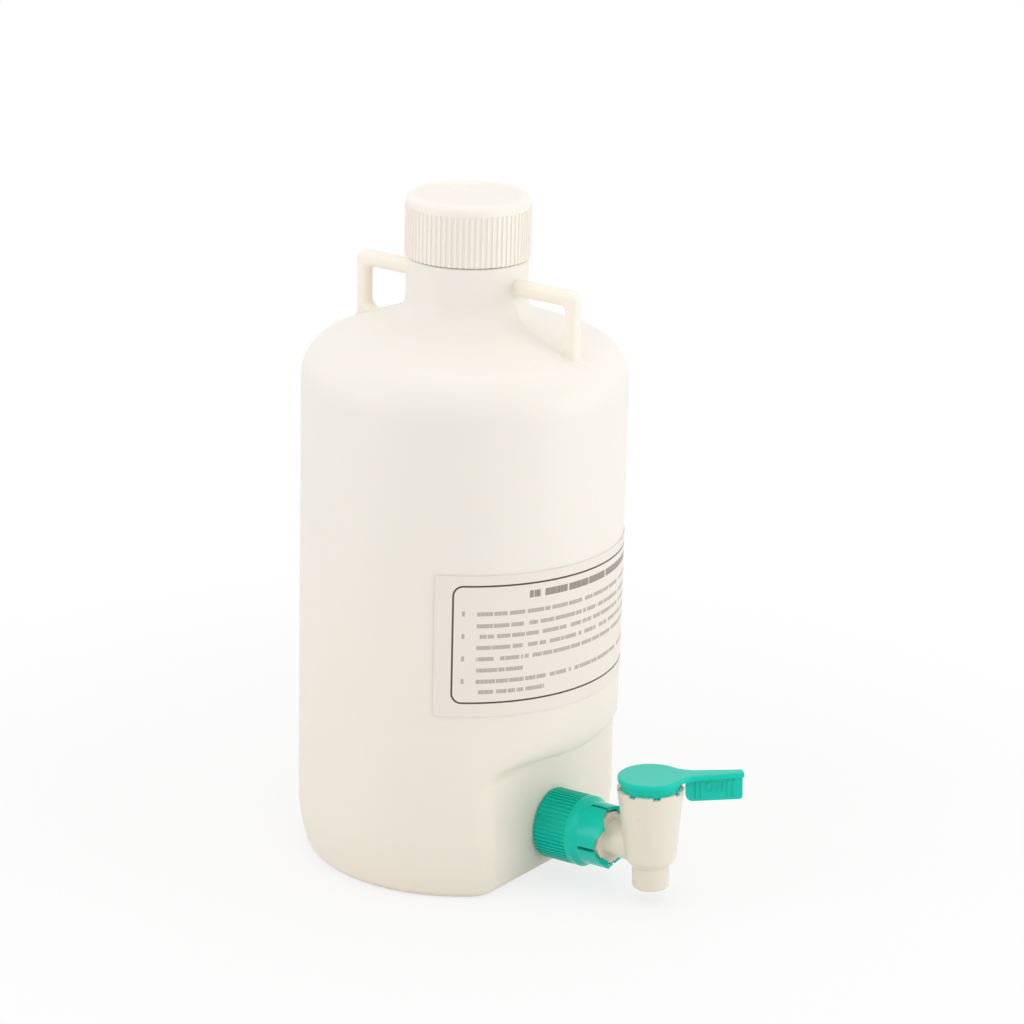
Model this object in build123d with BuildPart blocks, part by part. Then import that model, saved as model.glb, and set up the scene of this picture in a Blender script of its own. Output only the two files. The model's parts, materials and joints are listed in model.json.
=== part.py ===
"""Laboratory carboy with spigot: a 5 litre blow-moulded aspirator bottle.

Millimetres. The origin is the centre of the base on the bench, +Z is up and the
spigot points along -Y. The bottle stands on the ring of its base. Its lower front
carries a flat facet, leaning back by `outlet_tilt`, and the whole spigot is built
square to that facet.
"""

from build123d import *
from math import cos, hypot, radians, sin, sqrt, tan
import os

os.makedirs("parts", exist_ok=True)

# ---------------------------------------------------------------- bottle body
body_radius = 82.5
wall = 2.0
heel_height = 32.0            # the wall curves in below this height
heel_sweep_radius = 90.0
heel_edge_radius = 6.0
standing_ring = 36.5          # from the body's side in to the raised middle of the base
push_up_height = 4.0
push_up_slope_width = 12.0
shoulder_drop = 78.4          # from the top down to where wall line and shoulder line cross
shoulder_slope = 20.0         # degrees above the horizontal
shoulder_corner_radius = 22.5
total_height = 346.2          # top of the cap's rim

# ---------------------------------------------------------------- neck
neck_radius = 30.6
neck_root_radius = 12.0
finish_radius = 27.6          # the threaded finish that the cap screws on
finish_height = 26.6
bore_radius = 24.6
neck_edge_radius = 1.2
lip_edge_radius = 0.8

# ---------------------------------------------------------------- handles
handle_setback = 17.7         # from the body's side in to the middle of the upright
handle_bar_width = 7.6
handle_bar_depth = 7.4
handle_bar_height = 8.2
handle_neck_gap = 1.01        # from the neck's root curve to the bar's inner corner
handle_outer_radius = 5.0
handle_inner_radius = 2.5
handle_foot_radius = 5.0
handle_edge_radius = 3.3
handle_neck_radius = 3.0
handle_ridge = 0.35           # low ridge on the shoulder between neck and upright

# ---------------------------------------------------------------- facet and outlet
outlet_tilt = 2.5             # degrees that the facet leans back and the spigot rises
facet_depth = 19.5            # from the body's side in to the facet, at bench level
facet_ledge_height = 68.0
facet_ledge_radius = 6.0
facet_corner_radius = 15.0
outlet_height = 26.3          # of the spout's axis where it leaves the facet
spout_radius = 13.4
spout_length = 14.0
spout_edge_radius = 0.8

# ---------------------------------------------------------------- clearances
seal_clearance = 0.15         # between a seal and the face that squeezes it
seat_clearance = 0.2          # between the plug and its seat, and a stem in its bore
nut_clearance = 0.4
label_clearance = 0.05

# ---------------------------------------------------------------- grip ribs of the cap and nut
rib_foot_share = 1.3          # width at the foot and the crest, over the mean width
rib_crest_share = 0.6

# ---------------------------------------------------------------- label
label_bottom = 100.7
label_top = 174.4
label_half_angle = 62.5
label_thickness = 0.3
label_corner_radius = 2.0

# ---------------------------------------------------------------- screw cap and its liner
cap_radius = 31.6             # over the ribs
cap_rib_count = 72
cap_rib_depth = 0.7
cap_rib_share = 0.5           # of each pitch that the groove takes
cap_skirt_wall = 2.2          # under the ribs' crests
cap_top_thickness = 2.2
cap_edge_radius = 4.2
cap_dish_depth = 1.2
cap_dish_radius = 25.8
cap_rib_top_gap = 5.6         # from the ribs' upper ends to the cap's top
cap_neck_gap = 0.7            # from the neck's edge to the skirt
liner_thickness = 1.2
liner_play = 0.6

# ---------------------------------------------------------------- stopcock body
stem_radius = 9.2
stem_bore_radius = 6.6
stem_inlet_length = 12.0      # of stem inside the spout
gasket_thickness = 2.0
flange_thickness = 2.5
thrust_collar_radius = 13.4
thrust_collar_thickness = 3.0
valve_distance = 60.3         # from the facet to the valve's axis
cup_rim_height = 32.0         # above the stem's axis
cup_rim_radius = 16.9
cup_neck_height = 24.0
cup_neck_radius = 15.9
cup_heel_height = -5.5
cup_heel_radius = 12.9
cup_neck_sweep_radius = 30.0  # soft bend under the rim
cup_heel_edge_radius = 3.0
cup_wall = 1.9
cup_notch_count = 8
cup_notch_width = 4.0
cup_notch_depth = 1.2
port_radius = 4.2
nozzle_step_gap = 0.2         # from the stem's underside to a tube pushed fully on
nozzle_radius = 9.43
nozzle_bore_radius = 7.0
nozzle_tip_height = -21.1     # from the stem's axis
nozzle_lip_radius = 1.6

# ---------------------------------------------------------------- collar nut
nut_radius = 18.2
nut_rib_count = 52
nut_rib_depth = 0.7
nut_rib_share = 0.5
nut_rib_length = 19.2
nut_band_length = 3.2         # smooth ring in front of the ribs
nut_cone_length = 2.2
nut_edge_radius = 1.2
sleeve_radius = 16.15
sleeve_wall = 1.9
sleeve_end = 40.0             # from the facet to the finger tips
finger_count = 4
first_slit_angle = 10.0
finger_slit_width = 1.8
finger_slit_length = 13.5
finger_scallop_depth = 4.0    # at each slit, back from the finger tips
finger_scallop_radius = 13.0
hook_length = 2.6
hook_depth = 1.7

# ---------------------------------------------------------------- valve key
key_disc_radius = 16.6
key_top_height = 38.6
key_plate_thickness = 2.6
key_edge_radius = 0.9
key_arm_length = 47.2         # from the valve's axis to the tip
key_arm_root_width = 13.0
key_arm_tip_width = 5.4
key_arm_blend_radius = 16.0
key_tip_radius = 1.2
key_angle = 41.5              # of the arm from the outlet's direction, valve open
blade_start = 17.6
blade_end = 46.4
blade_bottom = 24.0
blade_thickness = 2.2
blade_inner_corner_radius = 3.6
blade_outer_corner_radius = 1.6
blade_rib_places = (23.0, 25.6, 39.0, 41.9)
blade_rib_width = 0.8
blade_rib_relief = 0.5
blade_rib_margin = 1.4
plug_wall = 2.0
plug_roof = 3.0

# ---------------------------------------------------------------- worked-out sizes
near = 0.01                   # how close an edge or face lies to a surface to count as on it
slope = radians(shoulder_slope)
push_up_radius = body_radius - standing_ring
shoulder_height = total_height - shoulder_drop
nozzle_step_height = -stem_radius - nozzle_step_gap
handle_reach = body_radius - handle_setback
facet_reach = body_radius - facet_depth
tilt = radians(outlet_tilt)
neck_foot_height = shoulder_height + (body_radius - neck_radius) * tan(slope)
neck_root_end = neck_foot_height + neck_root_radius * tan((radians(90) - slope) / 2)
handle_grip_under = neck_root_end + handle_neck_radius + handle_neck_gap
handle_grip_height = handle_grip_under + handle_bar_height / 2  # middle of the level bar
cap_ceiling = total_height - cap_dish_depth - cap_top_thickness
lip_height = cap_ceiling - liner_thickness - 2 * seal_clearance
neck_top = lip_height - finish_height
cap_bottom = neck_top + cap_neck_gap

# planes of the spigot: outlet_plane lies in the facet, valve_plane is level with the stem
facet_at_outlet = facet_reach - outlet_height * tan(tilt)
outlet_origin = Vector(0, -facet_at_outlet, outlet_height)
outlet_direction = Vector(0, -cos(tilt), sin(tilt))
spigot_up = Vector(0, sin(tilt), cos(tilt))
valve_origin = outlet_origin + outlet_direction * valve_distance
outlet_axis = Axis(outlet_origin, outlet_direction)
valve_axis = Axis(valve_origin, spigot_up)
outlet_plane = Plane(outlet_origin, x_dir=(1, 0, 0), z_dir=outlet_direction)
outlet_section = Plane(outlet_origin, x_dir=spigot_up, z_dir=(1, 0, 0))
valve_plane = Plane(valve_origin, x_dir=outlet_direction, z_dir=spigot_up)
valve_section = Plane(valve_origin, x_dir=outlet_direction, z_dir=(-1, 0, 0))
arm_direction = outlet_direction.rotate(valve_axis, key_angle)
key_plane = Plane(valve_origin, x_dir=arm_direction, z_dir=spigot_up)
key_section = Plane(valve_origin, x_dir=arm_direction, z_dir=-key_plane.y_dir)


def rib_outline(crest_radius, depth, count, groove_share):
    """Corners of one grip rib's section, its crest on `crest_radius` and its foot in the wall."""
    foot_radius = crest_radius - 2 * depth
    spread = tan(radians(180 / count * (1 - groove_share)))
    foot = foot_radius * spread * rib_foot_share
    crest = crest_radius * spread * rib_crest_share
    return [(foot_radius, -foot), (crest_radius, -crest), (crest_radius, crest), (foot_radius, foot)]


def rims_recess(edge, inset):
    """True for an edge where the round wall, at this inset, meets the facet or its ledge."""
    places = [edge @ t for t in (0.1, 0.5, 0.9)]
    sweep = heel_sweep_radius - inset
    radii = [
        body_radius - heel_sweep_radius + sqrt(sweep**2 - max(0.0, heel_height - p.Z) ** 2)
        for p in places
    ]
    on_wall = all(
        p.Z > inset + near and abs(hypot(p.X, p.Y) - radius) < 2 * near
        for p, radius in zip(places, radii)
    )
    return on_wall and edge.bounding_box().max.Y < 0


def recess_cutter(inset):
    """Everything in front of the facet and under its ledge, grown by `inset` into the bottle."""
    lean = Plane((0, -facet_reach, 0), x_dir=(0, -cos(tilt), sin(tilt)), z_dir=(-1, 0, 0))
    heel_top = (heel_height + inset * sin(tilt)) / cos(tilt)
    inner_corner = (facet_ledge_height + inset + inset * sin(tilt)) / cos(tilt)
    ledge_end = inner_corner - (body_radius + inset) * tan(tilt)
    sweep = heel_sweep_radius - inset
    below = -heel_edge_radius
    below_reach = -heel_sweep_radius + sqrt(sweep**2 - (heel_top - below) ** 2)
    with BuildPart() as cutter:
        with BuildSketch(lean) as outline:
            with BuildLine():
                heel = RadiusArc(
                    (below_reach, below), (-inset, heel_top), radius=-sweep
                )
                Polyline(
                    heel @ 1,
                    (-inset, inner_corner),
                    (body_radius, ledge_end),
                    (body_radius, below),
                    heel @ 0,
                )
            make_face()
            corner = outline.vertices().sort_by_distance((-inset, inner_corner))[0]
            fillet(corner, radius=facet_ledge_radius + inset)
        extrude(amount=2 * body_radius, both=True)
    return cutter.part


def bottle_form(inset):
    """The bottle's outside (inset 0) or the hollow inside it (inset = wall), without the finish."""
    radius = body_radius - inset
    shoulder = shoulder_height + inset * tan(slope) - inset / cos(slope)
    neck = neck_radius - inset
    neck_foot = shoulder + (radius - neck) * tan(slope)
    floor_sweep = heel_sweep_radius - inset
    floor_drop = heel_height - inset
    floor_reach = body_radius - heel_sweep_radius + sqrt(floor_sweep**2 - floor_drop**2)
    with BuildPart() as form:
        with BuildSketch(Plane.XZ) as half:
            with BuildLine():
                Polyline(
                    (floor_reach, inset),
                    (push_up_radius, inset),
                    (push_up_radius - push_up_slope_width, inset + push_up_height),
                    (0, inset + push_up_height),
                    (0, neck_top - inset),
                    (neck, neck_top - inset),
                    (neck, neck_foot),
                    (radius, shoulder),
                    (radius, heel_height),
                )
                RadiusArc((floor_reach, inset), (radius, heel_height), radius=-floor_sweep)
            make_face()
            for place, rounding in (
                ((neck, neck_foot), neck_root_radius + inset),
                ((radius, shoulder), shoulder_corner_radius - inset),
                ((neck, neck_top - inset), neck_edge_radius),
            ):
                fillet(half.vertices().sort_by_distance(place)[0], radius=rounding)
        revolve(axis=Axis.Z)
        add(recess_cutter(inset), mode=Mode.SUBTRACT)
        rims = form.edges().filter_by(lambda edge: rims_recess(edge, inset))
        fillet(rims, radius=facet_corner_radius - inset)
        floor_ring = form.faces().filter_by_position(Axis.Z, inset - near, inset + near)[0]
        fillet(floor_ring.outer_wire().edges(), radius=heel_edge_radius - inset)
    return form.part


def is_buried(edge):
    """True for an edge of the handle's sides that ends up inside the bottle's wall."""
    box = edge.bounding_box()
    return (
        abs(box.max.Y - ridge_inside) < near
        or abs(box.min.Y - ridge_outside) < near
        or abs(box.max.Z - ridge_bottom) < near
    )


# ---------------------------------------------------------------- bottle
with BuildPart() as handle:
    with BuildSketch(Plane.YZ) as loop:
        with BuildLine():
            Polyline(
                (0, heel_height),
                (body_radius, heel_height),
                (body_radius, shoulder_height),
                (neck_radius, neck_foot_height),
                (neck_radius, neck_top),
                (0, neck_top),
                close=True,
            )
        make_face()
        for place, rounding in (
            ((neck_radius, neck_foot_height), neck_root_radius),
            ((body_radius, shoulder_height), shoulder_corner_radius),
        ):
            fillet(loop.vertices().sort_by_distance(place)[0], radius=rounding)
        offset(amount=handle_ridge)
        grip_top = handle_grip_height + handle_bar_height / 2
        grip_under = grip_top - handle_bar_height
        upright_outside = handle_reach + handle_bar_width / 2
        upright_inside = upright_outside - handle_bar_width
        ridge_inside = neck_radius - 2 * wall
        ridge_outside = upright_outside + handle_foot_radius
        ridge_bottom = shoulder_height - handle_foot_radius
        with Locations(((ridge_inside + ridge_outside) / 2, (ridge_bottom + grip_top) / 2)):
            Rectangle(ridge_outside - ridge_inside, grip_top - ridge_bottom, mode=Mode.INTERSECT)
        with Locations(((ridge_inside + upright_outside) / 2, handle_grip_height)):
            Rectangle(upright_outside - ridge_inside, handle_bar_height)
        with Locations((handle_reach, (ridge_bottom + grip_top) / 2)):
            Rectangle(handle_bar_width, grip_top - ridge_bottom)
        shoulder_line = shoulder_height + handle_ridge / cos(slope)
        foot_inside = shoulder_line + (body_radius - upright_inside) * tan(slope)
        foot_outside = shoulder_line + (body_radius - upright_outside) * tan(slope)
        for place, rounding in (
            ((upright_outside, grip_top), handle_outer_radius),
            ((upright_inside, grip_under), handle_inner_radius),
            ((upright_inside, foot_inside), handle_foot_radius),
            ((upright_outside, foot_outside), handle_foot_radius),
            ((neck_radius + handle_ridge, grip_under), handle_neck_radius),
        ):
            fillet(loop.vertices().sort_by_distance(place)[0], radius=rounding)
    extrude(amount=handle_bar_depth / 2, both=True)
    sides = handle.faces().filter_by(Axis.X)
    fillet([edge for edge in sides.edges() if not is_buried(edge)], radius=handle_edge_radius)

with BuildPart() as bottle:
    add(bottle_form(0.0))
    add(handle.part)
    add(handle.part.mirror(Plane.XZ))
    with BuildSketch(Plane.XY.offset(neck_top - neck_edge_radius)):
        Circle(finish_radius)
    extrude(amount=finish_height + neck_edge_radius)
    fillet(bottle.faces().sort_by(Axis.Z)[-1].edges(), radius=lip_edge_radius)
    with BuildSketch(outlet_plane.offset(-wall)):
        Circle(spout_radius)
    extrude(amount=wall + spout_length)
    chamfer(bottle.edges(Select.LAST).sort_by(outlet_axis)[-1], length=spout_edge_radius)
    add(bottle_form(wall), mode=Mode.SUBTRACT)
    with BuildSketch(Plane.XY.offset(neck_top - 2 * wall)):
        Circle(bore_radius)
    extrude(amount=finish_height + 3 * wall, mode=Mode.SUBTRACT)
    with BuildSketch(outlet_plane.offset(-2 * wall)):
        Circle(stem_radius + seat_clearance)
    extrude(amount=spout_length + 3 * wall, mode=Mode.SUBTRACT)

bottle.part.label = "bottle"
export_step(bottle.part, "parts/bottle.step")

# ---------------------------------------------------------------- label
with BuildPart() as label:
    with BuildSketch(Plane.XY.offset(label_bottom)):
        with BuildLine():
            label_inside = body_radius + label_clearance
            first_angle = -90 - label_half_angle
            back = CenterArc((0, 0), label_inside, first_angle, 2 * label_half_angle)
            front = CenterArc(
                (0, 0), label_inside + label_thickness, first_angle, 2 * label_half_angle
            )
            Line(back @ 0, front @ 0)
            Line(back @ 1, front @ 1)
        make_face()
    extrude(amount=label_top - label_bottom)
    ends = label.faces().filter_by(GeomType.PLANE).filter_by(Axis.Z, reverse=True)
    corners = ends.edges().filter_by(Axis.Z, reverse=True)
    fillet(corners, radius=label_corner_radius)

label.part.label = "label"
export_step(label.part, "parts/label.step")

# ---------------------------------------------------------------- screw cap and liner
with BuildPart() as screw_cap:
    rib_height = total_height - cap_rib_top_gap - cap_bottom
    with BuildSketch(Plane.XZ) as crown:
        with BuildLine():
            Polyline(
                (0, cap_bottom),
                (cap_radius - cap_rib_depth, cap_bottom),
                (cap_radius - cap_rib_depth, total_height),
                (cap_dish_radius + cap_dish_depth, total_height),
                (cap_dish_radius - cap_dish_depth, total_height - cap_dish_depth),
                (0, total_height - cap_dish_depth),
                close=True,
            )
        make_face()
        top_edge = crown.vertices().sort_by_distance((cap_radius - cap_rib_depth, total_height))[0]
        fillet(top_edge, radius=cap_edge_radius - cap_rib_depth)
    revolve(axis=Axis.Z)
    with BuildSketch(Plane.XY.offset(cap_bottom)):
        with PolarLocations(0, cap_rib_count):
            Polygon(*rib_outline(cap_radius, cap_rib_depth, cap_rib_count, cap_rib_share), align=None)
    extrude(amount=rib_height)
    with BuildSketch(Plane.XY.offset(cap_bottom)):
        Circle(cap_radius - cap_skirt_wall)
    extrude(amount=cap_ceiling - cap_bottom, mode=Mode.SUBTRACT)

screw_cap.part.label = "screw_cap"
export_step(screw_cap.part, "parts/screw_cap.step")

with BuildPart() as cap_liner:
    with BuildSketch(Plane.XY.offset(lip_height + seal_clearance)):
        Circle(cap_radius - cap_skirt_wall - liner_play)
    extrude(amount=liner_thickness)

cap_liner.part.label = "cap_liner"
export_step(cap_liner.part, "parts/cap_liner.step")

# ---------------------------------------------------------------- stopcock body
gasket_start = spout_length + seal_clearance
flange_start = gasket_start + gasket_thickness + seal_clearance
collar_end = sleeve_end - hook_length - seat_clearance
collar_start = collar_end - thrust_collar_thickness
seat_floor = -port_radius - wall
seat_taper = (cup_rim_radius - cup_heel_radius) / (cup_rim_height - cup_heel_height)


def cup_radius(height):
    """Outer radius of the plain cone through the cup's heel and rim."""
    return cup_heel_radius + (height - cup_heel_height) * seat_taper


def seat_radius(height):
    """Radius of the tapered seat that the plug turns in."""
    return cup_radius(height) - cup_wall


with BuildPart() as stopcock_body:
    with BuildSketch(outlet_section):
        with BuildLine():
            Polyline(
                (0, spout_length - stem_inlet_length),
                (stem_radius, spout_length - stem_inlet_length),
                (stem_radius, flange_start),
                (spout_radius, flange_start),
                (spout_radius, flange_start + flange_thickness),
                (stem_radius, flange_start + flange_thickness),
                (stem_radius, collar_start),
                (thrust_collar_radius, collar_start),
                (thrust_collar_radius, collar_end),
                (stem_radius, collar_end),
                (stem_radius, valve_distance),
                (0, valve_distance),
                close=True,
            )
        make_face()
    revolve(axis=outlet_axis)
    with BuildSketch(valve_section) as cup_profile:
        with BuildLine():
            Polyline(
                (0, cup_rim_height),
                (cup_rim_radius, cup_rim_height),
                (cup_neck_radius, cup_neck_height),
                (cup_heel_radius, cup_heel_height),
                (nozzle_radius, nozzle_step_height),
                (nozzle_radius, nozzle_tip_height),
                (0, nozzle_tip_height),
                close=True,
            )
        make_face()
        for place, rounding in (
            ((cup_neck_radius, cup_neck_height), cup_neck_sweep_radius),
            ((cup_heel_radius, cup_heel_height), cup_heel_edge_radius),
            ((nozzle_radius, nozzle_tip_height), nozzle_lip_radius),
        ):
            fillet(cup_profile.vertices().sort_by_distance(place)[0], radius=rounding)
    revolve(axis=valve_axis)
    with BuildSketch(valve_section):
        with BuildLine():
            Polyline(
                (0, cup_rim_height),
                (seat_radius(cup_rim_height), cup_rim_height),
                (seat_radius(seat_floor), seat_floor),
                (nozzle_bore_radius, seat_floor),
                (nozzle_bore_radius, nozzle_tip_height),
                (0, nozzle_tip_height),
                close=True,
            )
        make_face()
    revolve(axis=valve_axis, mode=Mode.SUBTRACT)
    stem_bore_end = valve_distance - cup_heel_radius - wall
    with BuildSketch(outlet_plane):
        Circle(stem_bore_radius)
    extrude(amount=stem_bore_end, mode=Mode.SUBTRACT)
    with BuildSketch(outlet_plane):
        Circle(port_radius)
    extrude(amount=valve_distance, mode=Mode.SUBTRACT)
    with BuildSketch(valve_plane.offset(cup_rim_height)):
        with PolarLocations(cup_rim_radius - cup_wall / 2, cup_notch_count):
            Rectangle(2 * cup_wall, cup_notch_width)
    extrude(amount=-cup_notch_depth, mode=Mode.SUBTRACT)

stopcock_body.part.label = "stopcock_body"
export_step(stopcock_body.part, "parts/stopcock_body.step")

with BuildPart() as outlet_gasket:
    with BuildSketch(outlet_plane.offset(gasket_start)):
        Circle(spout_radius)
        Circle(stem_radius + seat_clearance, mode=Mode.SUBTRACT)
    extrude(amount=gasket_thickness)

outlet_gasket.part.label = "outlet_gasket"
export_step(outlet_gasket.part, "parts/outlet_gasket.step")

# ---------------------------------------------------------------- collar nut
nut_rib_end = nut_clearance + nut_rib_length
nut_band_end = nut_rib_end + nut_band_length
nut_cone_end = nut_band_end + nut_cone_length
sleeve_bore = sleeve_radius - sleeve_wall

with BuildPart() as collar_nut:
    with BuildSketch(outlet_section) as nut_profile:
        with BuildLine():
            Polyline(
                (sleeve_bore, nut_clearance),
                (nut_radius - nut_rib_depth, nut_clearance),
                (nut_radius - nut_rib_depth, nut_rib_end),
                (nut_radius, nut_rib_end),
                (nut_radius, nut_band_end),
                (sleeve_radius, nut_cone_end),
                (sleeve_radius, sleeve_end),
                (sleeve_bore - hook_depth, sleeve_end),
                (sleeve_bore - hook_depth, sleeve_end - hook_length),
                (sleeve_bore, sleeve_end - hook_length),
                close=True,
            )
        make_face()
        fillet(
            nut_profile.vertices().sort_by_distance((sleeve_radius, sleeve_end))[0],
            radius=nut_edge_radius,
        )
    revolve(axis=outlet_axis)
    with BuildSketch(outlet_plane.offset(nut_clearance)):
        with PolarLocations(0, nut_rib_count):
            Polygon(*rib_outline(nut_radius, nut_rib_depth, nut_rib_count, nut_rib_share), align=None)
    extrude(amount=nut_rib_length)
    with BuildSketch(outlet_plane.offset(sleeve_end - finger_slit_length)):
        with PolarLocations(sleeve_bore, finger_count, start_angle=first_slit_angle):
            Rectangle(4 * sleeve_wall, finger_slit_width)
    extrude(amount=finger_slit_length, mode=Mode.SUBTRACT)
    scallop_centre = sleeve_end - finger_scallop_depth + finger_scallop_radius
    for slit in range(finger_count):
        slit_angle = radians(first_slit_angle + slit * 360 / finger_count)
        outward = outlet_plane.x_dir * cos(slit_angle) + outlet_plane.y_dir * sin(slit_angle)
        middle_of_scallop = outlet_origin + outlet_direction * scallop_centre
        with BuildSketch(Plane(middle_of_scallop, x_dir=outlet_direction, z_dir=outward)):
            Circle(finger_scallop_radius)
        extrude(amount=nut_radius, mode=Mode.SUBTRACT)

collar_nut.part.label = "collar_nut"
export_step(collar_nut.part, "parts/collar_nut.step")

# ---------------------------------------------------------------- valve key
plate_bottom = key_top_height - key_plate_thickness
plug_bottom = seat_floor + seat_clearance


def plug_radius(height):
    """Radius of the tapered plug, clear of its seat."""
    return seat_radius(height) - seat_clearance


with BuildPart() as valve_key:
    with BuildSketch(key_plane.offset(plate_bottom)) as plate:
        Circle(key_disc_radius)
        Polygon(
            (0, -key_arm_root_width / 2),
            (key_arm_length, -key_arm_tip_width / 2),
            (key_arm_length, key_arm_tip_width / 2),
            (0, key_arm_root_width / 2),
            align=None,
        )
        necks = plate.vertices().group_by(Axis.X)[0]
        fillet(necks, radius=key_arm_blend_radius)
        fillet(plate.vertices().group_by(Axis.X)[-1], radius=key_tip_radius)
    extrude(amount=key_plate_thickness)
    fillet(valve_key.faces().sort_by(valve_axis)[-1].edges(), radius=key_edge_radius)
    with BuildSketch(key_section) as blade:
        middle = ((blade_start + blade_end) / 2, (blade_bottom + plate_bottom) / 2)
        with Locations(middle):
            Rectangle(blade_end - blade_start, plate_bottom - blade_bottom)
        for place, rounding in (
            ((blade_start, blade_bottom), blade_inner_corner_radius),
            ((blade_end, blade_bottom), blade_outer_corner_radius),
        ):
            fillet(blade.vertices().sort_by_distance(place)[0], radius=rounding)
    extrude(amount=blade_thickness / 2, both=True)
    with BuildSketch(key_section):
        for rib_place in blade_rib_places:
            with Locations((rib_place, middle[1])):
                Rectangle(blade_rib_width, plate_bottom - blade_bottom - 2 * blade_rib_margin)
    extrude(amount=blade_thickness / 2 + blade_rib_relief, both=True)
    with BuildSketch(valve_section):
        with BuildLine():
            Polyline(
                (0, plate_bottom),
                (plug_radius(cup_rim_height), plate_bottom),
                (plug_radius(cup_rim_height), cup_rim_height),
                (plug_radius(plug_bottom), plug_bottom),
                (plug_radius(plug_bottom) - plug_wall, plug_bottom),
                (plug_radius(cup_rim_height) - plug_wall, cup_rim_height - plug_roof),
                (0, cup_rim_height - plug_roof),
                close=True,
            )
        make_face()
    revolve(axis=valve_axis)
    with BuildSketch(Plane(valve_origin, x_dir=(1, 0, 0), z_dir=-outlet_direction)):
        Circle(port_radius)
    extrude(amount=cup_rim_radius, mode=Mode.SUBTRACT)

valve_key.part.label = "valve_key"
export_step(valve_key.part, "parts/valve_key.step")
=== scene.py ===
"""Laboratory carboy with spigot, dressed and lit on a plain white bench.

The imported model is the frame. The moulded pieces keep their own meshes and get their
materials here. The wrap label, the four screw threads and the raised words on the
lever's blade are new surfaces, worked out with numpy on grids of two parameters.
"""

import json
from math import cos, pi, radians, sin

import bmesh
import bpy
import numpy as np
from mathutils import Matrix, Vector


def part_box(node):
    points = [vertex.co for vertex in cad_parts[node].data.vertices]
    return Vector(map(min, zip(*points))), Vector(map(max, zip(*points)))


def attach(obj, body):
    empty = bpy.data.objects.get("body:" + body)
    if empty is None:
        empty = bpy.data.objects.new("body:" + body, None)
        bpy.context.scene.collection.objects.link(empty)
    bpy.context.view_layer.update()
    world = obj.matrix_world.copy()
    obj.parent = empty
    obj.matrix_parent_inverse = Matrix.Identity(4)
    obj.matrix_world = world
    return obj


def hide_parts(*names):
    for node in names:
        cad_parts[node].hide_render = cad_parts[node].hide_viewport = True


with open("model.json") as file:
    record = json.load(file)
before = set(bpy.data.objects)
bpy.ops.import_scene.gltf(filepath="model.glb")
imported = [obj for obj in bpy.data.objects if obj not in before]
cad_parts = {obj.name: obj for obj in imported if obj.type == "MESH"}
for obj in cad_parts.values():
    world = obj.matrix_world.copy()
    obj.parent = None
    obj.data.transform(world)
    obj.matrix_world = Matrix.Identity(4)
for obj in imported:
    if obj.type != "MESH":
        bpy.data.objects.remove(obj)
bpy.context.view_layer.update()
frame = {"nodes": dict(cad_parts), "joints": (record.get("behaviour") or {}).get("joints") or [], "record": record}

MM = 0.001

# ---------------------------------------------------------------- places read from the frame
joint = {entry["name"]: entry for entry in frame["joints"]}
travel_per_radian = {
    entry["follows"]: entry["ratio"] for entry in frame["record"]["behaviour"]["couplings"]
}
label_low, label_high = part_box("label")

# ---------------------------------------------------------------- driving sizes, in millimetres
finish_radius = 27.6          # the plain finish under the neck's thread
cap_bore_radius = 29.4
neck_thread_depth = 1.15
cap_thread_depth = 0.95
neck_thread_turns = 2.3
cap_thread_turns = 1.9
neck_thread_foot = 320.2      # height of the neck thread's lower end
neck_thread_width = 2.5
cap_thread_width = 2.0

spout_radius = 13.4
nut_bore_radius = 14.25
spout_thread_depth = 0.5
nut_thread_depth = 0.45
spout_thread_turns = 2.6
nut_thread_turns = 2.2
spout_thread_foot = 2.6       # from the facet along the outlet
spout_thread_width = 1.5
nut_thread_width = 1.1

thread_sink = 0.3             # of each thread's root inside its wall
thread_lead_in = 0.14         # share of its length over which a thread rises from nothing
thread_steps = 72             # for each turn

label_radius = 82.85
label_half_angle = 62.5       # degrees each side of the front
label_thickness = 0.3
label_corner_radius = 2.0

key_angle = 41.5              # degrees from the outlet's direction to the lever's arm
blade_face = 1.1              # from the blade's middle plane to its faces
word_height = 5.7
word_relief = 0.4
word_centre = 31.0            # above the stem's axis
word_middle = 32.3            # from the valve's axis along the arm
word_on_width = 9.1
word_off_width = 11.4

# ---------------------------------------------------------------- camera
camera_place = Vector((-1.3303, -0.9844, 0.7189))
camera_target = Vector((0.01503, -0.02031, 0.18088))
camera_roll = 0.0255
camera_lens = 120.14
sensor_width = 36


def srgb(red, green, blue):
    """Linear colour of an sRGB one written in bytes: each channel's curve is undone."""
    share = np.array([red, green, blue]) / 255
    linear = np.where(share <= 0.04045, share / 12.92, ((share + 0.055) / 1.055) ** 2.4)
    return (*[float(part) for part in linear], 1.0)


def basis(origin, across, upward):
    """4x4 matrix of a right-handed frame: Z is `upward`, X is `across` made square to it."""
    z = Vector(upward).normalized()
    x = (Vector(across) - Vector(across).dot(z) * z).normalized()
    y = z.cross(x)
    turned = Matrix((x, y, z)).transposed().to_4x4()
    turned.translation = Vector(origin)
    return turned


bottle_frame = Matrix.Identity(4)
outlet_frame = basis(joint["nut_turn"]["pos_m"], (1, 0, 0), joint["nut_turn"]["axis"])
valve_frame = basis(
    joint["key_turn"]["pos_m"], joint["nut_turn"]["axis"], joint["key_turn"]["axis"]
)
key_frame = valve_frame @ Matrix.Rotation(radians(key_angle), 4, "Z")


# ---------------------------------------------------------------- meshes
def placed(points, place):
    """The (..., 3) points, in millimetres of a local frame, as metres of the object's frame."""
    turn = np.array(place.to_3x3())
    return points * MM @ turn.T + np.array(place.translation)


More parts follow.
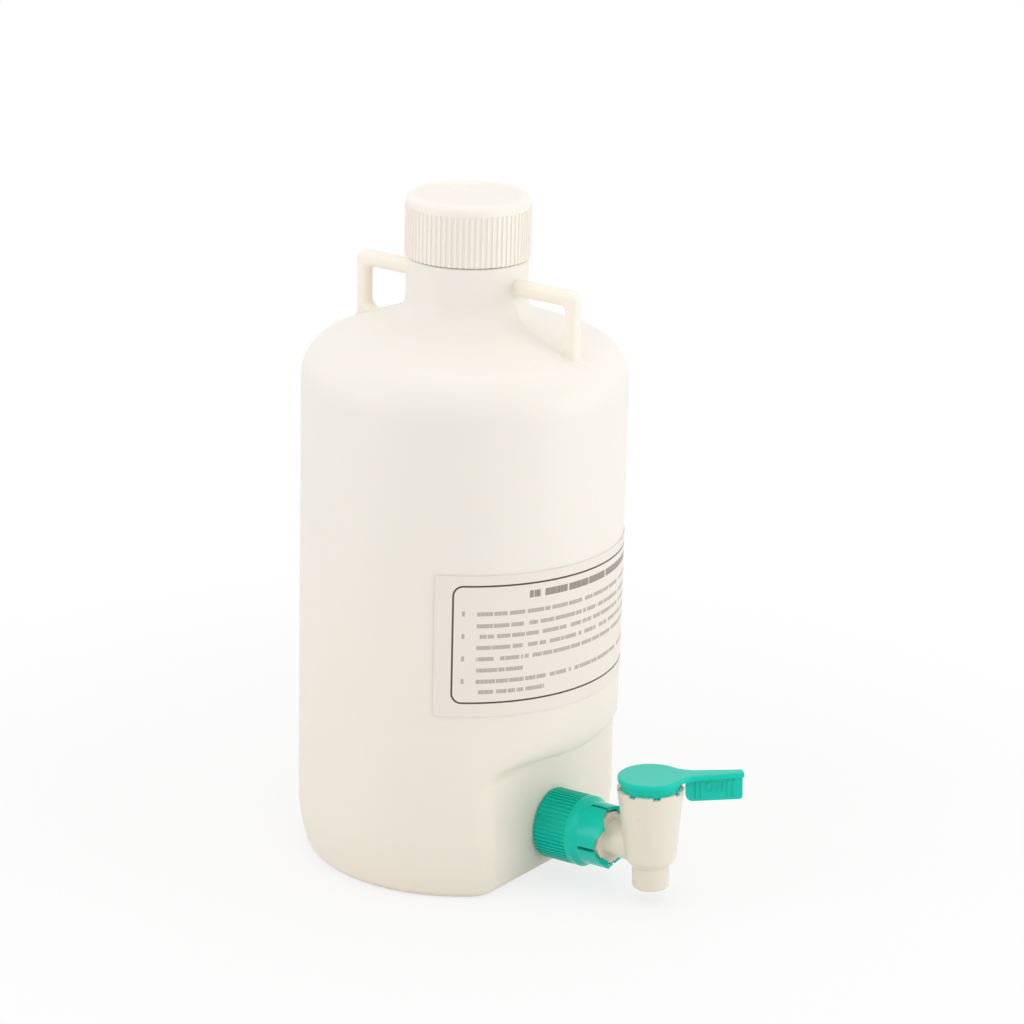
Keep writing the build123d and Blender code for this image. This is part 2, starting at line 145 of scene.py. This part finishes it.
def piece_from_grid(name, points, loops, body, material, uv=None):
    """A piece from a (rows, columns, 3) grid in metres; `loops` closes each row on itself."""
    rows, columns = points.shape[:2]
    row, column = np.meshgrid(
        np.arange(rows - 1), np.arange(columns if loops else columns - 1), indexing="ij"
    )
    following = (column + 1) % columns
    quads = np.stack(
        [
            row * columns + column,
            row * columns + following,
            (row + 1) * columns + following,
            (row + 1) * columns + column,
        ],
        axis=-1,
    ).reshape(-1, 4)
    mesh = bpy.data.meshes.new(name)
    mesh.from_pydata(points.reshape(-1, 3).tolist(), [], quads.tolist())
    if uv is not None:
        layer = mesh.uv_layers.new(name="sheet")
        layer.data.foreach_set("uv", uv.reshape(-1, 2)[quads.ravel()].ravel())
    mesh.polygons.foreach_set("use_smooth", np.ones(len(mesh.polygons), dtype=bool))
    mesh.materials.append(material)
    piece = bpy.data.objects.new(name, mesh)
    bpy.context.scene.collection.objects.link(piece)
    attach(piece, body)
    return piece


def close_poles(piece, gap=1e-7):
    """Merges the points that fall together at a form's tips and turns its faces outwards."""
    edit = bmesh.new()
    edit.from_mesh(piece.data)
    bmesh.ops.remove_doubles(edit, verts=edit.verts, dist=gap)
    bmesh.ops.recalc_face_normals(edit, faces=edit.faces)
    edit.to_mesh(piece.data)
    edit.free()


def rise(share, lead):
    """0 at both ends of 0..1 and 1 between, eased by 3t^2 - 2t^3 over `lead` at each end."""
    t = np.clip(np.minimum(share, 1 - share) / lead, 0, 1)
    return t * t * (3 - 2 * t)


def screw_thread(name, place, wall, depth, width, foot, turns, pitch, body, material):
    """A right-hand thread: a rounded ridge carried along a helix on a round wall.

    Along the helix, angle = 2 pi turns t and height = foot + pitch turns t. Round its
    section, at angle s, the radius is wall + depth (1 + sin s) / 2 - sink and the height
    shifts by width / 2 cos s, with both drawn in to nothing at the thread's two ends.
    A negative depth makes the ridge stand inwards, as inside a cap.
    """
    along = np.linspace(0, 1, int(thread_steps * turns) + 1)[:, None]
    section = np.linspace(0, 2 * pi, 12, endpoint=False)[None, :]
    envelope = rise(along, thread_lead_in)
    sink = np.sign(depth) * thread_sink
    radius = wall - sink + envelope * (depth + sink) * (1 + np.sin(section)) / 2
    height = foot + pitch * turns * along + envelope * width / 2 * np.cos(section)
    angle = 2 * pi * turns * along
    points = np.stack([radius * np.cos(angle), radius * np.sin(angle), height], axis=-1)
    thread = piece_from_grid(name, placed(points, place), True, body, material)
    close_poles(thread)
    return thread


def wrap_label(material):
    """The label: a sheet on a cylinder, its corners rounded.

    A point's angle from the front is u times the half length of its row, and its height
    is v. Within a corner's radius of the top or bottom, the half length shrinks by the
    corner's arc: r - sqrt(r^2 - h^2), h being how far the row is past the corner's start.
    """
    low, high = label_low.z / MM, label_high.z / MM
    half_height = (high - low) / 2
    across = np.linspace(-1, 1, 161)[None, :]
    up = np.sin(np.linspace(-pi / 2, pi / 2, 41))[:, None] * half_height
    past = np.clip(np.abs(up) - (half_height - label_corner_radius), 0, label_corner_radius)
    arc = label_corner_radius - np.sqrt(label_corner_radius**2 - past**2)
    half_length = radians(label_half_angle) * label_radius - arc
    length = across * half_length
    angle = length / label_radius
    height = (low + high) / 2 + up + 0 * angle
    points = np.stack(
        [label_radius * np.sin(angle), -label_radius * np.cos(angle), height], axis=-1
    )
    uv = np.stack([length, up + 0 * length], axis=-1)
    label = piece_from_grid(
        "wrap_label", placed(points, bottle_frame), False, "vessel", material, uv
    )
    wall = label.modifiers.new("film", "SOLIDIFY")
    wall.thickness = label_thickness * MM
    wall.offset = -1
    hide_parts("label")
    return label


def raised_word(word, name, side, width, material):
    """Raised letters on one face of the lever's blade, reading outward or inward along the arm.

    The type is stretched to fill a box of width by height, with its middle plane on the
    blade's face, so that half of its thickness stands out.
    """
    text = bpy.data.curves.new(name, "FONT")
    text.body = word
    text.space_character = 1.35
    text.offset = -0.012
    text.extrude = 0.06
    text.bevel_depth = 0.014
    text.resolution_u = 5
    source = bpy.data.objects.new(name, text)
    bpy.context.scene.collection.objects.link(source)
    bpy.context.view_layer.update()
    mesh = bpy.data.meshes.new_from_object(source)
    bpy.data.objects.remove(source)
    points = np.empty(3 * len(mesh.vertices))
    mesh.vertices.foreach_get("co", points)
    points = points.reshape(-1, 3)
    low, high = points.min(axis=0), points.max(axis=0)
    size = np.array([width, word_height, 2 * word_relief])
    points = (points - (low + high) / 2) / (high - low) * size * MM
    mesh.vertices.foreach_set("co", points.ravel())
    reading = key_frame.to_3x3() @ Vector((side, 0, 0))
    upward = key_frame.to_3x3() @ Vector((0, 0, 1))
    place = Matrix((reading, upward, reading.cross(upward))).transposed().to_4x4()
    place.translation = key_frame @ (
        Vector((word_middle, -side * blade_face, word_centre)) * MM
    )
    mesh.transform(place)
    mesh.materials.append(material)
    piece = bpy.data.objects.new(name, mesh)
    bpy.context.scene.collection.objects.link(piece)
    close_poles(piece, gap=1e-6)
    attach(piece, "key")
    return piece


# ---------------------------------------------------------------- shader tools
mix_first, mix_second = 6, 7  # a Mix node's colour inputs
mix_result = 2                # and its colour output

bump_strength = 0.5
bump_distance = 1 * MM        # that a height of 1 stands for
seam_half_width = 0.25 * MM
seam_height = 0.12            # of the ridge, as the skin's height

word_gap = 0.16               # share of a word's pitch
word_drift = 2.5              # words by which slow noise shifts the gaps
drift_rate = 0.09             # of that noise, for each millimetre
stroke_rate = 1.5             # strokes for each millimetre
stroke_darkness = 0.4         # added where a stroke is fullest


def node(tree, kind, inputs=None, **settings):
    """A new node of that kind, its inputs set to values or linked from sockets."""
    made = tree.nodes.new(kind)
    for key, value in settings.items():
        setattr(made, key, value)
    for name, value in (inputs or {}).items():
        if isinstance(value, bpy.types.NodeSocket):
            tree.links.new(value, made.inputs[name])
        else:
            made.inputs[name].default_value = value
    return made


def calc(tree, operation, *values):
    """The output of a Math node."""
    return node(tree, "ShaderNodeMath", dict(enumerate(values)), operation=operation).outputs[0]


def group(name, takes, gives):
    """An empty shader node group with its inputs and outputs: (tree, input sockets)."""
    tree = bpy.data.node_groups.new(name, "ShaderNodeTree")
    for label, kind, default in takes:
        socket = tree.interface.new_socket(label, in_out="INPUT", socket_type=kind)
        if default is not None:
            socket.default_value = default
    for label, kind in gives:
        tree.interface.new_socket(label, in_out="OUTPUT", socket_type=kind)
    return tree, tree.nodes.new("NodeGroupInput").outputs


def use(tree, shared, inputs):
    """The outputs of a shared group placed in a material."""
    return node(tree, "ShaderNodeGroup", inputs, node_tree=shared).outputs


def blend(tree, factor, first, second):
    """The colour output of a Mix node: `first` at factor 0, `second` at 1."""
    inputs = {"Factor": factor, mix_first: first, mix_second: second}
    return node(tree, "ShaderNodeMix", inputs, data_type="RGBA").outputs[mix_result]


def build_resin_drift():
    """Slow drift of a resin's colour: soft noise mixes a second colour in by up to Amount."""
    tree, given = group(
        "resin_drift",
        [
            ("Place", "NodeSocketVector", None),
            ("Colour", "NodeSocketColor", (0.8, 0.8, 0.8, 1)),
            ("Second Colour", "NodeSocketColor", (0.7, 0.7, 0.7, 1)),
            ("Scale", "NodeSocketFloat", 20.0),
            ("Amount", "NodeSocketFloat", 0.5),
        ],
        [("Colour", "NodeSocketColor")],
    )
    noise = node(
        tree, "ShaderNodeTexNoise", {"Vector": given["Place"], "Scale": given["Scale"], "Detail": 3}
    )
    share = calc(tree, "MULTIPLY", noise.outputs["Fac"], given["Amount"])
    colour = blend(tree, share, given["Colour"], given["Second Colour"])
    node(tree, "NodeGroupOutput", {"Colour": colour})
    return tree


def build_moulded_skin():
    """Skin of moulded plastic: fine grain and long shallow waves as height, and uneven gloss."""
    tree, given = group(
        "moulded_skin",
        [
            ("Place", "NodeSocketVector", None),
            ("Grain Scale", "NodeSocketFloat", 900.0),
            ("Grain Depth", "NodeSocketFloat", 0.02),
            ("Wave Scale", "NodeSocketFloat", 14.0),
            ("Wave Depth", "NodeSocketFloat", 0.2),
            ("Roughness", "NodeSocketFloat", 0.4),
            ("Roughness Spread", "NodeSocketFloat", 0.1),
        ],
        [("Height", "NodeSocketFloat"), ("Roughness", "NodeSocketFloat")],
    )
    grain, wave = [
        node(
            tree,
            "ShaderNodeTexNoise",
            {"Vector": given["Place"], "Scale": given[scale], "Detail": 2},
        ).outputs["Fac"]
        for scale in ("Grain Scale", "Wave Scale")
    ]
    height = calc(
        tree,
        "ADD",
        calc(tree, "MULTIPLY", grain, given["Grain Depth"]),
        calc(tree, "MULTIPLY", wave, given["Wave Depth"]),
    )
    uneven = calc(
        tree, "MULTIPLY", calc(tree, "SUBTRACT", wave, 0.5), given["Roughness Spread"]
    )
    gloss = calc(tree, "ADD", uneven, given["Roughness"])
    node(tree, "NodeGroupOutput", {"Height": height, "Roughness": gloss})
    return tree


def build_type_line():
    """One greyed line of type: a strip from Start to End, broken into words and strokes.

    Words are where the fraction of (across / Word) plus slow noise passes a fixed gap, and
    strokes are fine noise along the line. Everything is in millimetres.
    """
    tree, given = group(
        "type_line",
        [
            ("Across", "NodeSocketFloat", 0.0),
            ("Up", "NodeSocketFloat", 0.0),
            ("Start", "NodeSocketFloat", 0.0),
            ("End", "NodeSocketFloat", 1.0),
            ("Base", "NodeSocketFloat", 0.0),
            ("Height", "NodeSocketFloat", 2.0),
            ("Word", "NodeSocketFloat", 8.0),
            ("Row", "NodeSocketFloat", 0.0),
            ("Darkness", "NodeSocketFloat", 0.3),
        ],
        [("Mask", "NodeSocketFloat")],
    )
    along = given["Across"]
    drifting = calc(tree, "ADD", calc(tree, "MULTIPLY", along, drift_rate), given["Row"])
    slow = node(
        tree,
        "ShaderNodeTexNoise",
        {"W": drifting, "Scale": 1.0},
        noise_dimensions="1D",
    ).outputs["Fac"]
    strokes = node(
        tree,
        "ShaderNodeTexNoise",
        {"W": calc(tree, "ADD", along, given["Row"]), "Scale": stroke_rate, "Detail": 1},
        noise_dimensions="1D",
    ).outputs["Fac"]
    phase = calc(
        tree,
        "ADD",
        calc(tree, "DIVIDE", along, given["Word"]),
        calc(tree, "MULTIPLY", slow, word_drift),
    )
    word = calc(tree, "GREATER_THAN", calc(tree, "FRACT", phase), word_gap)
    inside = calc(
        tree,
        "MULTIPLY",
        calc(tree, "GREATER_THAN", along, given["Start"]),
        calc(tree, "LESS_THAN", along, given["End"]),
    )
    lifted = calc(tree, "SUBTRACT", given["Up"], given["Base"])
    tall = calc(
        tree,
        "MULTIPLY",
        calc(tree, "GREATER_THAN", lifted, 0.0),
        calc(tree, "LESS_THAN", lifted, given["Height"]),
    )
    ink = calc(tree, "MULTIPLY_ADD", strokes, stroke_darkness, given["Darkness"])
    mask = calc(
        tree, "MULTIPLY", calc(tree, "MULTIPLY", inside, tall), calc(tree, "MULTIPLY", word, ink)
    )
    node(tree, "NodeGroupOutput", {"Mask": mask})
    return tree


resin_drift = build_resin_drift()
moulded_skin = build_moulded_skin()
type_line = build_type_line()


def new_material(name, look):
    """A material with its Principled shader; `look` sets the sockets that are constant."""
    material = bpy.data.materials.new(name)
    material.use_nodes = True
    tree = material.node_tree
    shader = tree.nodes["Principled BSDF"]
    for socket, value in look.items():
        shader.inputs[socket].default_value = value
    place = node(tree, "ShaderNodeTexCoord").outputs["Object"]
    return material, tree, shader, place


def moulded_plastic(name, colour, second, drift, skin, look, seams=(), foot=None):
    """Moulded plastic: drifting resin colour over a moulded skin, with optional mould seams.

    A seam is a plane square to one axis: (axis letter, place in metres). Its ridge has its
    full height within its half width and fades to 0 over as much again. `foot` is (colour,
    height in metres): from that height down to 0 the base colour turns to that one, eased by
    3t^2 - 2t^3, so the plastic is darker and warmer towards its bottom.
    """
    material, tree, shader, place = new_material(name, look)
    colours = {"Place": place, "Colour": colour, "Second Colour": second}
    tint = use(tree, resin_drift, colours | drift)
    split = node(tree, "ShaderNodeSeparateXYZ", {"Vector": place}).outputs
    shade = tint["Colour"]
    if foot is not None:
        depth = node(
            tree,
            "ShaderNodeMapRange",
            {"Value": split["Z"], "From Min": foot[1], "From Max": 0.0},
            interpolation_type="SMOOTHSTEP",
        ).outputs["Result"]
        shade = blend(tree, depth, shade, foot[0])
    tree.links.new(shade, shader.inputs["Base Color"])
    surface = use(tree, moulded_skin, {"Place": place} | skin)
    tree.links.new(surface["Roughness"], shader.inputs["Roughness"])
    height = surface["Height"]
    for axis, where in seams:
        off = calc(tree, "ABSOLUTE", calc(tree, "SUBTRACT", split[axis], where))
        ridge = node(
            tree,
            "ShaderNodeMapRange",
            {
                "Value": off,
                "From Min": seam_half_width,
                "From Max": 2 * seam_half_width,
                "To Min": seam_height,
                "To Max": 0.0,
            },
        ).outputs["Result"]
        height = calc(tree, "ADD", height, ridge)
    relief = {"Height": height, "Strength": bump_strength, "Distance": bump_distance}
    bump = node(tree, "ShaderNodeBump", relief)
    tree.links.new(bump.outputs["Normal"], shader.inputs["Normal"])
    return material


# ---------------------------------------------------------------- the label's print
type_rows = (                 # height of each line's foot, and its end in degrees from the front
    (153.6, 50.0),
    (147.4, 44.0),
    (141.9, 51.0),
    (136.1, 47.0),
    (130.2, 52.0),
    (124.3, -30.4),
    (118.4, 49.0),
    (112.9, -22.8),
)
type_start = -47.8
marker_start = -52.9
marker_angle = 1.0
marker_rows = (0, 2, 4, 6)
border_angle = 56.0
border_low = 108.2
border_high = 169.0
border_corner = 5.0
border_width = 0.95
heading_angle = 30.3          # each side of the front
heading_foot = 161.5
heading_darkness = 0.5
line_darkness = 0.26
ink_colour = srgb(84, 66, 54)


def arc_length(angle):
    """Millimetres along the label from the front to an angle in degrees."""
    return radians(angle) * label_radius


def label_material():
    """Film label: pale ground, a rounded border line and greyed lines of type."""
    material, tree, shader, place = new_material(
        "label_film", {"Roughness": 0.42, "Specular IOR Level": 0.4}
    )
    sheet = node(tree, "ShaderNodeUVMap", uv_map="sheet").outputs["UV"]
    across, up = node(tree, "ShaderNodeSeparateXYZ", {"Vector": sheet}).outputs[:2]
    middle = (label_low.z + label_high.z) / 2 / MM
    # distance to a rounded rectangle: the length past the corner's centre, less its radius
    half_width = arc_length(border_angle) - border_corner
    half_height = (border_high - border_low) / 2 - border_corner
    centre = (border_high + border_low) / 2 - middle
    side = calc(tree, "SUBTRACT", calc(tree, "ABSOLUTE", across), half_width)
    top = calc(
        tree, "SUBTRACT", calc(tree, "ABSOLUTE", calc(tree, "SUBTRACT", up, centre)), half_height
    )
    out_x = calc(tree, "MAXIMUM", side, 0.0)
    out_y = calc(tree, "MAXIMUM", top, 0.0)
    squares = [calc(tree, "MULTIPLY", out, out) for out in (out_x, out_y)]
    corner = calc(tree, "SQRT", calc(tree, "ADD", *squares))
    inner = calc(tree, "MINIMUM", calc(tree, "MAXIMUM", side, top), 0.0)
    distance = calc(tree, "SUBTRACT", calc(tree, "ADD", corner, inner), border_corner)
    ink = calc(tree, "LESS_THAN", calc(tree, "ABSOLUTE", distance), border_width / 2)
    # each line: start, end, foot, height, pitch of its words, row of noise, darkness
    lines = [(-heading_angle, heading_angle, heading_foot, 3.7, 17.0, 0.5, heading_darkness)]
    for row, (foot, end) in enumerate(type_rows):
        lines.append((type_start, end, foot, 2.1, 8.5, 11.0 * row + 3, line_darkness))
        if row in marker_rows:
            marker_end = marker_start + marker_angle
            lines.append((marker_start, marker_end, foot, 2.6, 50.0, 4.0, line_darkness))
    for start, end, foot, height, word, seed, darkness in lines:
        strip = use(
            tree,
            type_line,
            {
                "Across": across,
                "Up": up,
                "Start": arc_length(start),
                "End": arc_length(end),
                "Base": foot - middle,
                "Height": height,
                "Word": word,
                "Row": seed,
                "Darkness": darkness,
            },
        )
        ink = calc(tree, "MAXIMUM", ink, strip["Mask"])
    ground = use(
        tree,
        resin_drift,
        {
            "Place": place,
            "Colour": srgb(233, 224, 215),
            "Second Colour": srgb(229, 219, 209),
            "Scale": 30.0,
            "Amount": 0.8,
        },
    )
    printed = blend(tree, ink, ground["Colour"], ink_colour)
    tree.links.new(printed, shader.inputs["Base Color"])
    return material


# ---------------------------------------------------------------- materials
natural_plastic = moulded_plastic(
    "natural_polyethylene",
    srgb(243, 236, 226),
    srgb(238, 230, 217),
    {"Scale": 9.0, "Amount": 0.7},
    {"Grain Scale": 700.0, "Grain Depth": 0.05, "Wave Scale": 16.0, "Wave Depth": 0.5,
     "Roughness": 0.42, "Roughness Spread": 0.12},
    {"Subsurface Weight": 0.3, "Subsurface Radius": (1.0, 0.8, 0.6), "Subsurface Scale": 0.006,
     "Specular IOR Level": 0.35},
    seams=(("X", 0.0),),
    # base colour darker and warmer towards the bottom, from 0.24 m down
    foot=(srgb(239, 228, 213), 0.24),
)
cap_plastic = moulded_plastic(
    "white_polypropylene",
    srgb(243, 236, 227),
    srgb(237, 229, 219),
    {"Scale": 25.0, "Amount": 0.6},
    {"Grain Scale": 1200.0, "Grain Depth": 0.04, "Wave Scale": 30.0, "Wave Depth": 0.1,
     "Roughness": 0.38, "Roughness Spread": 0.1},
    {"Subsurface Weight": 0.15, "Subsurface Radius": (1.0, 0.8, 0.6), "Subsurface Scale": 0.002},
)
liner_foam = moulded_plastic(
    "liner_foam",
    srgb(244, 242, 238),
    srgb(236, 234, 229),
    {"Scale": 80.0, "Amount": 0.6},
    {"Grain Scale": 1800.0, "Grain Depth": 0.2, "Wave Scale": 60.0, "Wave Depth": 0.1,
     "Roughness": 0.8, "Roughness Spread": 0.1},
    {},
)
ivory_plastic = moulded_plastic(
    "ivory_polypropylene",
    srgb(229, 221, 207),
    srgb(221, 211, 195),
    {"Scale": 40.0, "Amount": 0.7},
    {"Grain Scale": 1400.0, "Grain Depth": 0.03, "Wave Scale": 45.0, "Wave Depth": 0.12,
     "Roughness": 0.3, "Roughness Spread": 0.1},
    {"Subsurface Weight": 0.2, "Subsurface Radius": (1.0, 0.8, 0.55), "Subsurface Scale": 0.002},
)
gasket_rubber = moulded_plastic(
    "gasket_silicone",
    srgb(224, 222, 218),
    srgb(212, 210, 205),
    {"Scale": 60.0, "Amount": 0.6},
    {"Grain Scale": 1500.0, "Grain Depth": 0.08, "Wave Scale": 50.0, "Wave Depth": 0.1,
     "Roughness": 0.6, "Roughness Spread": 0.1},
    {},
)
green_plastic = moulded_plastic(
    "green_polypropylene",
    srgb(0, 200, 179),
    srgb(0, 188, 166),
    {"Scale": 45.0, "Amount": 0.8},
    {"Grain Scale": 1500.0, "Grain Depth": 0.03, "Wave Scale": 60.0, "Wave Depth": 0.15,
     "Roughness": 0.17, "Roughness Spread": 0.1},
    {"Subsurface Weight": 0.1, "Subsurface Radius": (0.2, 1.0, 0.8), "Subsurface Scale": 0.001,
     "Specular IOR Level": 0.25},
)

finish_of_node = {
    "bottle": natural_plastic,
    "screw_cap": cap_plastic,
    "cap_liner": liner_foam,
    "stopcock_body": ivory_plastic,
    "outlet_gasket": gasket_rubber,
    "collar_nut": green_plastic,
    "valve_key": green_plastic,
}
for name, material in finish_of_node.items():
    mesh = frame["nodes"][name].data
    mesh.materials.clear()
    mesh.materials.append(material)

# ---------------------------------------------------------------- pieces
wrap_label(label_material())

cap_pitch = travel_per_radian["cap_turn"] * 2 * pi / MM
nut_pitch = travel_per_radian["nut_turn"] * 2 * pi / MM
screw_thread(
    "neck_thread", bottle_frame, finish_radius, neck_thread_depth, neck_thread_width,
    neck_thread_foot, neck_thread_turns, cap_pitch, "vessel", natural_plastic,
)
screw_thread(
    "cap_thread", bottle_frame, cap_bore_radius, -cap_thread_depth, cap_thread_width,
    neck_thread_foot + cap_pitch / 2, cap_thread_turns, cap_pitch, "cap",
    cap_plastic,
)
screw_thread(
    "spout_thread", outlet_frame, spout_radius, spout_thread_depth, spout_thread_width,
    spout_thread_foot, spout_thread_turns, nut_pitch, "vessel", natural_plastic,
)
screw_thread(
    "nut_thread", outlet_frame, nut_bore_radius, -nut_thread_depth, nut_thread_width,
    spout_thread_foot + nut_pitch / 2, nut_thread_turns, nut_pitch, "nut",
    green_plastic,
)
raised_word("ON", "word_on", 1, word_on_width, green_plastic)
raised_word("OFF", "word_off", -1, word_off_width, green_plastic)


# ---------------------------------------------------------------- floor, world, lights, camera
floor_reach = 6.0
floor_grey = 0.86
shadow_end = 0.16             # from the origin; up to here the floor glows least
glow_start = 0.5              # and from here on it is plain white
least_glow = 0.72
room_fill = 0.78              # strength of the world's fill light


def white_behind(tree, strength):
    """`strength` on camera, glossy and transmission rays, and 0 on all others."""
    path = node(tree, "ShaderNodeLightPath").outputs
    seen = calc(tree, "MAXIMUM", path["Is Camera Ray"], path["Is Glossy Ray"])
    seen = calc(tree, "MAXIMUM", seen, path["Is Transmission Ray"])
    return calc(tree, "MULTIPLY", seen, strength)


def build_floor():
    """A wide pale floor: it keeps a soft shadow near the object and looks white further off."""
    mesh = bpy.data.meshes.new("floor")
    signs = [(-1, -1), (1, -1), (1, 1), (-1, 1)]
    corners = [(x * floor_reach, y * floor_reach, 0) for x, y in signs]
    mesh.from_pydata(corners, [], [(0, 1, 2, 3)])
    floor = bpy.data.objects.new("floor", mesh)
    bpy.context.scene.collection.objects.link(floor)
    material = bpy.data.materials.new("floor_white")
    material.use_nodes = True
    tree = material.node_tree
    tree.nodes.clear()
    matt = node(tree, "ShaderNodeBsdfDiffuse", {"Color": (floor_grey, floor_grey, floor_grey, 1)})
    glow = node(tree, "ShaderNodeEmission", {"Color": (1, 1, 1, 1), "Strength": 1.0})
    place = node(tree, "ShaderNodeTexCoord").outputs["Object"]
    away = node(tree, "ShaderNodeVectorMath", {0: place}, operation="LENGTH").outputs["Value"]
    glowing = node(
        tree,
        "ShaderNodeMapRange",
        {
            "Value": away,
            "From Min": shadow_end,
            "From Max": glow_start,
            "To Min": least_glow,
            "To Max": 1.0,
        },
        interpolation_type="SMOOTHSTEP",
    ).outputs["Result"]
    share = white_behind(tree, glowing)
    mixed = node(tree, "ShaderNodeMixShader", {0: share, 1: matt.outputs[0], 2: glow.outputs[0]})
    node(tree, "ShaderNodeOutputMaterial", {"Surface": mixed.outputs[0]})
    mesh.materials.append(material)


def build_world(fill):
    """White where it is looked at; elsewhere a plain fill light."""
    world = bpy.data.worlds.new("white_room")
    bpy.context.scene.world = world
    world.use_nodes = True
    tree = world.node_tree
    tree.nodes.clear()
    seen = white_behind(tree, 1.0)
    strength = calc(tree, "ADD", fill, calc(tree, "MULTIPLY", seen, 1.0 - fill))
    sky = node(tree, "ShaderNodeBackground", {"Color": (1, 1, 1, 1), "Strength": strength})
    node(tree, "ShaderNodeOutputWorld", {"Surface": sky.outputs[0]})


def soft_box(name, place, target, size, power):
    """A square area lamp at `place`, turned to face `target`."""
    lamp = bpy.data.lights.new(name, "AREA")
    lamp.size = size
    lamp.energy = power
    box = bpy.data.objects.new(name, lamp)
    bpy.context.scene.collection.objects.link(box)
    box.location = place
    aim = Vector(target) - Vector(place)
    box.rotation_euler = aim.to_track_quat("-Z", "Y").to_euler()


def build_camera():
    """The camera at its place, rolled about its line of sight."""
    lens = bpy.data.cameras.new("camera")
    lens.lens = camera_lens
    lens.sensor_width = sensor_width
    lens.sensor_fit = "HORIZONTAL"
    camera = bpy.data.objects.new("camera", lens)
    bpy.context.scene.collection.objects.link(camera)
    forward = (camera_target - camera_place).normalized()
    right = forward.cross(Vector((0, 0, 1))).normalized()
    upward = right.cross(forward)
    rolled_right = cos(camera_roll) * right + sin(camera_roll) * upward
    rolled_up = -sin(camera_roll) * right + cos(camera_roll) * upward
    turn = Matrix((rolled_right, rolled_up, -forward)).transposed().to_4x4()
    camera.matrix_world = Matrix.Translation(camera_place) @ turn
    bpy.context.scene.camera = camera


build_floor()
build_world(room_fill)
soft_box("key_light", (-0.9, -1.1, 1.2), (0, 0, 0.18), 1.1, 2.5)
soft_box("front_light", (0.5, -1.3, 0.3), (0, 0, 0.06), 0.8, 5.5)
soft_box("left_light", (-1.4, 0.9, 0.7), (0, 0, 0.17), 1.1, 6)
soft_box("top_light", (0.1, 0.0, 1.6), (0, 0, 0.2), 1.0, 4)
build_camera()
bpy.context.scene.view_settings.view_transform = "Standard"
